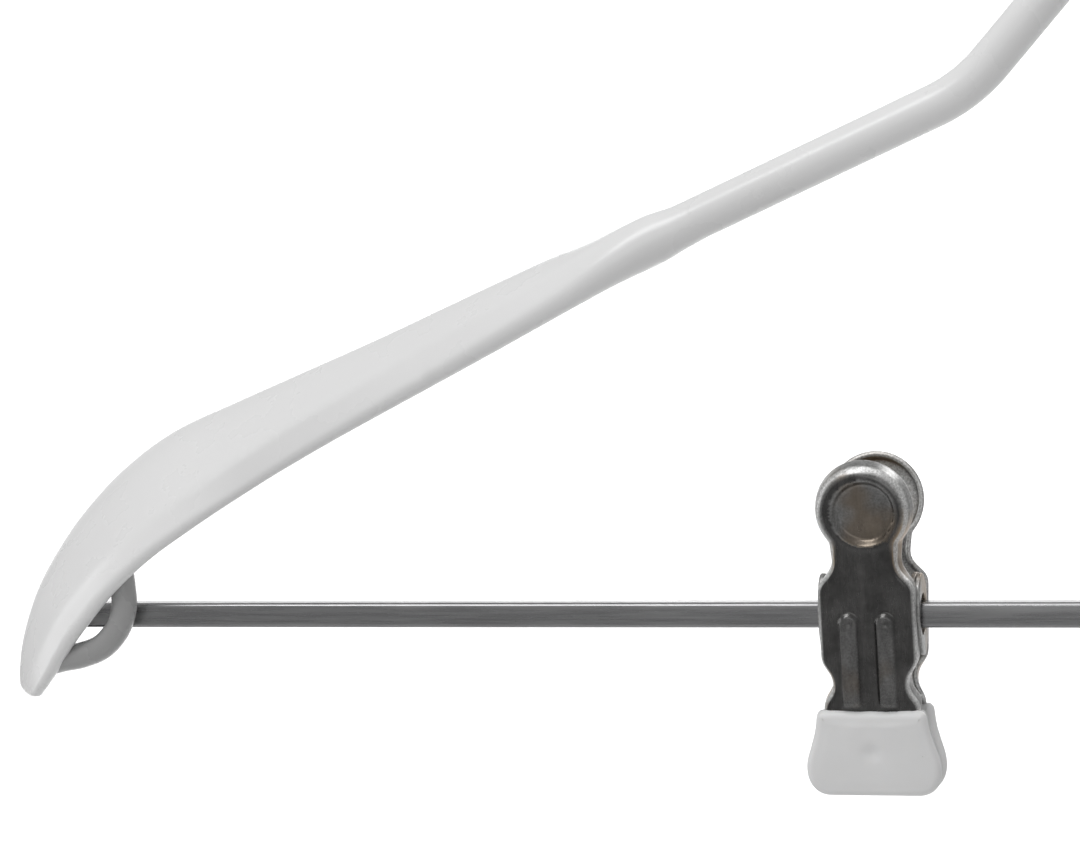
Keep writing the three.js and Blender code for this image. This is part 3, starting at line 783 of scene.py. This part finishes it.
def rounded_square(side, radius, steps=6):
    half = side / 2 - radius
    corners = ((half, half, 0), (-half, half, 90), (-half, -half, 180), (half, -half, 270))
    points = []
    for cy, cz, start in corners:
        for angle in np.radians(np.linspace(start, start + 90, steps + 1)):
            points.append((cy + radius * math.cos(angle), cz + radius * math.sin(angle)))
    return np.array(points)


def build_bar():
    low, high = box_mm("clip_bar")
    middle_z = (low[2] + high[2]) / 2
    section = rounded_square(high[2] - low[2], BAR_EDGE_R)
    xs = np.linspace(low[0], high[0], 120)
    rings = [np.stack([np.full(len(section), x), section[:, 0], middle_z + section[:, 1]], axis=1)
             for x in xs]
    piece("square_bar", np.vstack(rings), ring_faces(len(xs), len(section)),
          BAR_METAL_PAINTED_DARK, "frame", ["clip_bar"], "chrome_bar")


# ---------------------------------------------------------------- clips

def bezier(a, b, c, d, steps=14):
    t = np.linspace(0, 1, steps + 1)[1:, None]
    a, b, c, d = (np.array(p, float) for p in (a, b, c, d))
    return (1 - t) ** 3 * a + 3 * t * (1 - t) ** 2 * b + 3 * t ** 2 * (1 - t) * c + t ** 3 * d


def half_outline(pivot):
    """Outline of a stamped half in X and Z, from its bottom right corner round to its bottom left."""
    waist, jaw = pivot - 1.8, 8.3
    bottom = JAW_BOTTOM_Z + 1.8
    lean = math.asin(NECK_HALF / HEAD_R) + 0.08
    neck_top = (HEAD_R * math.sin(lean), HEAD_Z - HEAD_R * math.cos(lean))
    right = [np.array([[8.0, bottom], [10.0, bottom + 2.0]])]
    right.append(bezier((10, bottom + 2), (10, -21), (jaw, -18), (jaw, -15)))
    right.append(bezier((jaw, -15), (jaw, -13.4), (waist, -12.8), (waist, -10.8)))
    right.append(bezier((waist, -10.8), (waist, -8.5), (pivot, -8), (pivot, -6)))
    right.append(np.linspace((pivot, -6), (pivot, 5.6), 30)[1:])
    right.append(bezier((pivot, 5.6), (pivot, 8), (NECK_HALF, 8.4), (NECK_HALF, NECK_Z)))
    right.append(np.array([neck_top]))
    angle = np.linspace(-math.pi / 2 + lean, math.pi / 2, 60)[1:]
    right.append(np.stack([HEAD_R * np.cos(angle), HEAD_Z + HEAD_R * np.sin(angle)], axis=1))
    right = np.vstack(right)
    left = right[::-1][1:] * np.array([-1, 1])
    return evenly(np.vstack([right, left]), 0.3)


def evenly(points, spacing):
    """Points at an even spacing round a closed outline, lightly smoothed."""
    loop = np.vstack([points, points[:1]])
    run = np.concatenate([[0], np.cumsum(np.linalg.norm(np.diff(loop, axis=0), axis=1))])
    count = int(run[-1] / spacing)
    want = np.linspace(0, run[-1], count, endpoint=False)
    even = np.stack([np.interp(want, run, loop[:, 0]), np.interp(want, run, loop[:, 1])], axis=1)
    for _ in range(3):
        even = 0.5 * even + 0.25 * (np.roll(even, 1, 0) + np.roll(even, -1, 0))
    return even


def inward_normals(outline):
    along = np.roll(outline, -1, 0) - np.roll(outline, 1, 0)
    along /= np.linalg.norm(along, axis=1)[:, None]
    normal = np.stack([-along[:, 1], along[:, 0]], axis=1)
    area = np.sum(outline[:, 0] * np.roll(outline[:, 1], -1) - outline[:, 1] * np.roll(outline[:, 0], -1))
    return normal if area > 0 else -normal


def distance_inside(points, outline):
    """Distance from each point to an outline's nearest vertex."""
    gaps = np.linalg.norm(points[:, None, :] - outline[None, :, :], axis=2)
    return gaps.min(axis=1)


def inside(points, outline):
    """Which points lie inside a closed outline."""
    x, z = points[:, 0][:, None], points[:, 1][:, None]
    ax, az = outline[None, :, 0], outline[None, :, 1]
    bx, bz = np.roll(outline, -1, 0)[None, :, 0], np.roll(outline, -1, 0)[None, :, 1]
    crosses = ((az > z) != (bz > z)) & (x < (bx - ax) * (z - az) / np.where(bz == az, 1e-12, bz - az) + ax)
    return crosses.sum(axis=1) % 2 == 1


def filled(rim, spacing):
    """Triangles over the inside of a rim outline: (points, faces), the rim's points first."""
    low, high = rim.min(0), rim.max(0)
    rows = np.arange(low[1], high[1], spacing * 0.866)
    grid = []
    for i, z in enumerate(rows):
        xs = np.arange(low[0] - (i % 2) * spacing / 2, high[0], spacing)
        grid.append(np.stack([xs, np.full(len(xs), z)], axis=1))
    grid = np.vstack(grid)
    grid = grid[inside(grid, rim)]
    grid = grid[distance_inside(grid, rim) > 0.6 * spacing]
    points = np.vstack([rim, grid])
    count = len(rim)
    edges = [(i, (i + 1) % count) for i in range(count)]
    found = delaunay_2d_cdt([Vector(p) for p in points], edges, [], 1, 1e-7)
    return np.array([tuple(v) for v in found[0]]), [tuple(f) for f in found[2]]


def half_relief(x, z):
    """How far the stamped panel sinks (+) or rises (-) from flat: dish and ribs."""
    reach = np.hypot(x - DISH_X, z - HEAD_Z)
    dish = DISH_DEPTH * (1 - smooth_step(DISH_R - 1.1, DISH_R + 0.15, reach))
    dish -= 0.25 * (1 - smooth_step(0, DISH_R - 1.2, reach))
    lip = -0.12 * np.exp(-((reach - DISH_R - 0.5) / 0.45) ** 2)
    ribs = 0.0
    for centre in (-RIB_X, RIB_X):
        above = np.maximum(z - (RIB_TOP_Z - RIB_HALF), 0)
        away = np.clip(np.hypot(x - centre, above) / RIB_HALF, 0, 1)
        height = RIB_HEIGHT * smooth_step(JAW_TOP_Z - 0.2, JAW_TOP_Z + 1.4, z)
        ribs = ribs - height * (1 - smooth_step(0.5, 1.0, away))
        from_dimple = np.hypot(x - centre - 0.35, z - RIB_DIMPLE_Z)
        ribs = ribs + 0.3 * np.exp(-(from_dimple / 0.8) ** 2)
    return dish + lip + ribs


def edge_round(z):
    """Radius of the panel's rolled edge: fuller round the head."""
    return 1.35 + 0.95 * smooth_step(9.5, 15.0, z)


def flange_reach(z, pivot_cut):
    """How deep the flange goes from the panel's outer face."""
    jaw = smooth_step(-16.0, -13.4, z)
    pivot = pivot_cut * (smooth_step(-9.0, -7.0, z) - smooth_step(7.0, 9.0, z))
    return 0.95 + (FLANGE - 0.95 - pivot) * jaw


def shell_side(outline, normals, inset, radius, depth, flare, steps=7):
    """Rings from a flange's edge over the rolled edge to the panel: list of (xz, y)."""
    rings = []
    for share in np.linspace(1, 0, 6)[:-1]:
        y = radius + (depth - radius) * share
        out = flare * (y - radius)
        rings.append((outline + normals * (inset - out)[:, None], inset + y))
    for a in np.linspace(math.pi / 2, 0, steps):
        rings.append((outline + normals * (inset + radius * (1 - math.sin(a)))[:, None],
                      inset + radius * (1 - math.cos(a))))
    return rings


def wear_and_sheen_of(points, pivot_cut, skin_count):
    """0 on the flat of a stamped half, up to 1 on its rolled edge, cut edges and raised ribs: rubbed bright
    metal there, and partly a painted highlight; 0.2 in the dish, and at least 0.4 on the inner skin as a
    painted reflection.
    """
    x, y, z = points.T
    depth = y - SHEET_OUTER_Y
    # Rolled edge, rib tops, flange and cut edge are brightened: wear, partly a painted highlight.
    rolled = smooth_step(0.15, 0.6, depth) * (1 - smooth_step(1.2, 2.2, depth))
    ribs = 0.12 * smooth_step(0.35, 0.8, -depth) * (depth > -1.2)
    flange = 0.55 * smooth_step(1.6, 2.6, depth)
    cut_edge = 0.9 * smooth_step(-0.5, -0.1, depth - flange_reach(z, pivot_cut))
    wear_and_sheen = np.maximum.reduce([rolled, ribs, flange, cut_edge])
    within = np.hypot(x - DISH_X, z - HEAD_Z) < DISH_R + 0.2
    wear_and_sheen = np.where(within, 0.2, wear_and_sheen)
    # Painted reflection: the whole inner skin is brightened as though it caught light.
    wear_and_sheen[skin_count:] = np.maximum(wear_and_sheen[skin_count:], 0.4)
    return wear_and_sheen


def half_shell(pivot, pivot_cut):
    """Panel, rolled edge and flange of a stamped half as one closed sheet."""
    outline = half_outline(pivot)
    normals = inward_normals(outline)
    z = outline[:, 1]
    flare = 0.17 * smooth_step(7.5, 11.0, z) + 0.1 * (1 - smooth_step(-13.0, -9.0, z))
    depth = flange_reach(z, pivot_cut)
    outer_r = np.minimum(edge_round(z), np.maximum(depth - 0.02, 0.3))
    inner_r = np.maximum(outer_r - SHEET_T, 0.25)
    zero = np.zeros(len(outline))
    outer = shell_side(outline, normals, zero, outer_r, np.maximum(depth, outer_r + 0.01), flare)
    inner_depth = np.maximum(depth - SHEET_T, inner_r + 0.01)
    inner = shell_side(outline, normals, zero + SHEET_T, inner_r, inner_depth, flare)
    outer_ring, outer_faces = side_mesh(outer, 0.0)
    inner_ring, inner_faces = side_mesh(inner, SHEET_T)
    points, faces = joined((outer_ring, outer_faces), (inner_ring, inner_faces))
    count, base = len(outline), len(outer_ring)
    rim = [(i, (i + 1) % count, base + (i + 1) % count, base + i) for i in range(count)]
    return points, faces + rim, wear_and_sheen_of(points, pivot_cut, base)


def side_mesh(rings, level):
    """One skin of the shell: its rings, then the panel filled in and given its relief."""
    count = len(rings[0][0])
    points = [np.stack([xz[:, 0], SHEET_OUTER_Y + y, xz[:, 1]], axis=1) for xz, y in rings]
    panel_xz, panel_faces = filled(rings[-1][0], 0.36)
    panel_y = SHEET_OUTER_Y + level + half_relief(panel_xz[:, 0], panel_xz[:, 1])
    fade = smooth_step(0.0, 0.5, distance_inside(panel_xz, rings[-1][0]))
    panel_y = SHEET_OUTER_Y + level + (panel_y - SHEET_OUTER_Y - level) * fade
    panel = np.stack([panel_xz[:, 0], panel_y, panel_xz[:, 1]], axis=1)
    start = (len(rings) - 1) * count
    faces = ring_faces(len(rings), count, close_ends=False)
    faces += [tuple(start + i for i in face) for face in panel_faces]
    return np.vstack(points[:-1] + [panel]), faces


def ear_ring(x_low, x_high, depth_radius):
    """A flat oval ear with a round hole, its edges eased."""
    profile = softened([[EAR_HOLE_R, x_low], [EAR_R, x_low], [EAR_R, x_high],
                        [EAR_HOLE_R, x_high]], EAR_EASE, 4)
    points, faces = turned(profile, sides=72)
    across, up = points[:, 0], points[:, 1]
    share = smooth_step(EAR_HOLE_R + 0.3, EAR_R - EAR_EASE, np.hypot(across, up))
    across = across * (1 - share * (1 - depth_radius / EAR_R))
    return np.stack([points[:, 2], across, up], axis=1), faces


def tilted(points, rear):
    """Tilts a half about the bar's axis, head outwards; the rear one faces the other way."""
    angle = math.radians(HALF_TILT)
    x, y, z = np.asarray(points).T
    turned_y = y * math.cos(angle) - z * math.sin(angle)
    turned_z = y * math.sin(angle) + z * math.cos(angle)
    if rear:
        return np.stack([-x, -turned_y, turned_z], axis=1)
    return np.stack([x, turned_y, turned_z], axis=1)


def jaw_outline():
    """Outline of a vinyl cap in its own plane, widest low down, its top lip slightly waved."""
    bottom, top = JAW_BOTTOM_Z, JAW_TOP_Z
    right = np.vstack([
        np.array([[7.6, bottom]]),
        bezier((7.6, bottom), (10.6, bottom), (12.1, bottom + 2.6), (11.65, bottom + 5.8)),
        bezier((11.65, bottom + 5.8), (11.3, bottom + 8), (9.9, top - 5), (9.6, top - 1.3)),
        bezier((9.6, top - 1.3), (9.5, top), (8.8, top + 0.1), (8.0, top), 8),
        bezier((8.0, top), (6, top + 0.3), (3, top - 0.3), (0, top), 12),
    ])
    left = right[::-1] * np.array([-1, 1])
    return evenly(np.vstack([right, left]), 0.32)


def jaw_relief(x, z):
    """Outward swell of the cap's face: rolled top lip, ribs showing through, and a small dent."""
    lip = 0.2 * np.exp(-((z - JAW_TOP_Z + 1.3) / 0.8) ** 2)
    fall = smooth_step(JAW_TOP_Z - 7.0, JAW_TOP_Z - 1.5, z)
    ribs = 0.16 * fall * (np.exp(-((x - RIB_X) / 1.5) ** 2) + np.exp(-((x + RIB_X) / 1.5) ** 2))
    away = np.hypot(x, (z - JAW_DENT_Z) * 1.15)
    dent = -0.5 * np.exp(-(away / 1.6) ** 2)
    swell = np.cos(np.clip(x / 12, -1, 1) * math.pi / 2)
    belly = 0.3 * swell * np.cos(np.clip((z - JAW_DENT_Z) / 8, -1, 1) * math.pi / 2)
    return lip + ribs + dent + belly


def no_relief(x, z):
    """The cap's inner face is flat."""
    return 0 * x


def jaw_skin(outline, normals, outward, depth):
    """One face of the cap with its rounded edge, from the middle of its thickness."""
    rings = []
    for a in np.linspace(math.pi / 2, 0, 8):
        inset = JAW_ROUND * (1 - math.sin(a))
        y = JAW_THICKNESS / 2 - JAW_ROUND * (1 - math.cos(a))
        rings.append((outline + normals * inset, y))
    panel_xz, panel_faces = filled(rings[-1][0], 0.36)
    fade = smooth_step(0.0, 1.2, distance_inside(panel_xz, rings[-1][0]))
    swell = depth(panel_xz[:, 0], panel_xz[:, 1]) * fade
    count = len(outline)
    middle = SHEET_OUTER_Y + SHEET_T / 2
    points = [np.stack([xz[:, 0], np.full(count, middle + outward * y), xz[:, 1]], axis=1)
              for xz, y in rings[:-1]]
    panel_y = middle + outward * (JAW_THICKNESS / 2 + swell)
    panel = np.stack([panel_xz[:, 0], panel_y, panel_xz[:, 1]], axis=1)
    faces = ring_faces(len(rings), count, close_ends=False)
    start = (len(rings) - 1) * count
    faces += [tuple(start + i for i in face) for face in panel_faces]
    return np.vstack(points + [panel]), faces


def jaw_cap():
    outline = jaw_outline()
    normals = inward_normals(outline)
    front = jaw_skin(outline, normals, -1, jaw_relief)
    back = jaw_skin(outline, normals, 1, no_relief)
    return joined(front, back)


def spring_leg(rear):
    """The end of the coil turned up inside a half."""
    end = 1 if rear else -1
    x = end * SPRING_LENGTH / 2
    angle = np.linspace(-60, 0, 12)
    y = end * SPRING_R * np.cos(np.radians(angle))
    z = SPRING_R * np.sin(np.radians(angle))
    wrap = np.stack([np.full(12, x), y, z], axis=1)
    up = np.linspace(wrap[-1], [x * 0.9, end * 6.9, SPRING_LEG_Z], 16)[1:]
    return np.vstack([wrap, up])


def coil_path():
    turn = np.linspace(0, 2 * math.pi * SPRING_TURNS, int(SPRING_TURNS * 36) + 1)
    start = math.pi
    return np.stack([-SPRING_LENGTH / 2 + SPRING_LENGTH * turn / turn[-1],
                     SPRING_R * np.cos(start + turn), SPRING_R * np.sin(start + turn)], axis=1)


def at_clip(points, centre):
    return np.asarray(points) + centre


def build_clips():
    shells = {False: half_shell(FRONT_PIVOT_HALF, 0.6), True: half_shell(REAR_PIVOT_HALF, 2.1)}
    cap = jaw_cap()
    for label in ("left", "right"):
        low, high = box_mm(f"{label}_clip_spring")
        bar_low, bar_high = box_mm("clip_bar")
        centre = np.array([(low[0] + high[0]) / 2, 0, (bar_low[2] + bar_high[2]) / 2])
        for rear in (False, True):
            build_half(label, rear, centre, shells[rear], cap)
        build_spring(label, centre)


def build_half(label, rear, centre, shell, cap):
    word = "rear" if rear else "front"
    body = f"{label}_{word}_jaw"
    (x_low, x_high), depth = (REAR_EAR_X, REAR_EAR_DEPTH_R) if rear else (FRONT_EAR_X, FRONT_EAR_DEPTH_R)
    ears = [ear_ring(x_low, x_high, depth), ear_ring(-x_high, -x_low, depth)]
    shell_points, shell_faces, shell_wear_and_sheen = shell
    points, faces = joined((shell_points, shell_faces), *ears)
    # The ears take a flat 0.5 on the same wear-and-sheen scale.
    wear_and_sheen = np.concatenate([shell_wear_and_sheen, np.full(len(points) - len(shell_points), 0.5)])
    piece(f"{label}_{word}_stamping", at_clip(tilted(points, rear), centre), faces, NICKEL, body,
          [f"{label}_clip_{word}_half"], "black_nickel", wear_and_sheen)
    points, faces = cap
    piece(f"{label}_{word}_vinyl", at_clip(tilted(points, rear), centre), faces, VINYL, body,
          [f"{label}_clip_{word}_jaw_cap"], "white_vinyl")


def build_spring(label, centre):
    points, faces = tube(*rounded_ends(coil_path(), SPRING_WIRE_R), sides=14)
    piece(f"{label}_coil", at_clip(points, centre), faces, SPRING_METAL, f"{label}_clip",
          [f"{label}_clip_spring"], "spring_steel")
    for rear in (False, True):
        word = "rear" if rear else "front"
        points, faces = tube(*rounded_ends(spring_leg(rear), SPRING_WIRE_R), sides=14)
        piece(f"{label}_{word}_spring_leg", at_clip(points, centre), faces, SPRING_METAL,
              f"{label}_{word}_jaw", (), "spring_steel")


# ---------------------------------------------------------------- studio

def build_floor():
    low = CAD_BOUNDS[0]
    bpy.ops.mesh.primitive_plane_add(size=FLOOR_SIZE, location=(0, 2.0, low[2] - FLOOR_DROP))
    floor = bpy.context.object
    floor.name = "studio_floor"
    floor.data.materials.append(BACKDROP)
    wall_z = low[2] - FLOOR_DROP + WALL_SIZE[1] / 2
    bpy.ops.mesh.primitive_plane_add(size=1, location=(WALL_X, WALL_Y, wall_z),
                                     rotation=(math.pi / 2, 0, 0))
    wall = bpy.context.object
    wall.name = "studio_wall"
    wall.scale = (WALL_SIZE[0], WALL_SIZE[1], 1)
    wall.data.materials.append(BACKDROP)


def build_camera():
    azimuth, elevation = math.radians(CAMERA_AZIMUTH), math.radians(CAMERA_ELEVATION)
    target = Vector((CAMERA_ORBIT_X, 0, CAMERA_ORBIT_Z))
    away = Vector((math.sin(azimuth) * math.cos(elevation), -math.cos(azimuth) * math.cos(elevation),
                   math.sin(elevation)))
    data = bpy.data.cameras.new("camera")
    camera = bpy.data.objects.new("camera", data)
    bpy.context.scene.collection.objects.link(camera)
    camera.location = target + away * CAMERA_DISTANCE
    look = (CAMERA_AIM - camera.location).to_track_quat("-Z", "Y").to_matrix().to_4x4()
    roll = Matrix.Rotation(math.radians(CAMERA_ROLL), 4, "Z")
    camera.matrix_world = Matrix.Translation(camera.location) @ look @ roll
    data.lens = CAMERA_LENS
    data.clip_end = 50
    bpy.context.scene.camera = camera


def area_light(name, place, target, size, watts):
    data = bpy.data.lights.new(name, "AREA")
    data.shape = "RECTANGLE"
    data.size, data.size_y = size
    data.energy = watts
    light = bpy.data.objects.new(name, data)
    bpy.context.scene.collection.objects.link(light)
    light.location = place
    light.rotation_euler = (Vector(target) - Vector(place)).to_track_quat("-Z", "Y").to_euler()


def build_lights():
    world = bpy.data.worlds.new("studio")
    world.use_nodes = True
    background = world.node_tree.nodes["Background"]
    background.inputs["Color"].default_value = (WORLD_GREY, WORLD_GREY, WORLD_GREY, 1)
    background.inputs["Strength"].default_value = 1.0
    bpy.context.scene.world = world
    area_light("key", (-0.45, -0.8, 0.85), (-0.1, 0, -0.17), (0.7, 0.5), 5.4)
    area_light("top", (-0.1, -0.12, 1.0), (-0.1, 0, -0.2), (0.9, 0.5), 3.0)
    area_light("front_fill", (0.15, -1.4, 0.05), (-0.05, 0, -0.23), (0.9, 0.6), 1.2)
    area_light("left_strip", (-1.45, -0.1, -0.1), (-0.07, 0, -0.2), (0.35, 0.9), 2.0)
    area_light("back_rim", (0.7, 1.1, 0.9), (0, 0, -0.15), (0.6, 0.5), 5.0)
    area_light("wall_wash", (WALL_X, 1.3, 0.7), (WALL_X, WALL_Y, -0.45), (1.6, 0.5), 48)


bpy.context.scene.view_settings.view_transform = "Standard"
build_camera()
build_hook()
build_swivel()
build_neck_tube()
build_leaves()
build_loops()
build_bar()
build_clips()
build_floor()
build_lights()
